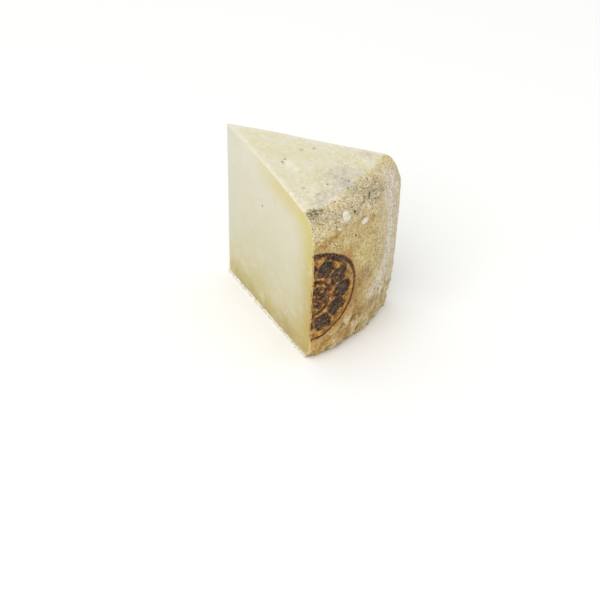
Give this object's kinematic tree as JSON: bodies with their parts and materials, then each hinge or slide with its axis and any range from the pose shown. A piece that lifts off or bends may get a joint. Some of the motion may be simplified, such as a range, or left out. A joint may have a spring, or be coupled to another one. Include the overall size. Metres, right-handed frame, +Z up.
{
  "type": "pecorino cheese wedge",
  "caption": "Wedge cut from a small drum-shaped hard cheese: pale smooth cut faces, rounded rind shoulder, stamped and mould-flecked rind, flat underside.",
  "frame": {"origin": "middle of the bounding box at its bottom, on the flat underside that the wedge stands on", "axes": "+X from the thin edge (the middle of the wheel) to the rind side, +Y across the wedge from one cut to the other, +Z up through the height of the wheel"},
  "size_m": [0.0962, 0.0708, 0.0947],
  "materials": {
    "cheese": "satin paste inside a dry natural rind",
    "salt_grain": "dull white grains on the rind",
    "mould_fleck": "dry dark flecks on the rind"
  },
  "bodies": {
    "root": {"cheese_wedge": "cheese"}
  },
  "joints": []
}
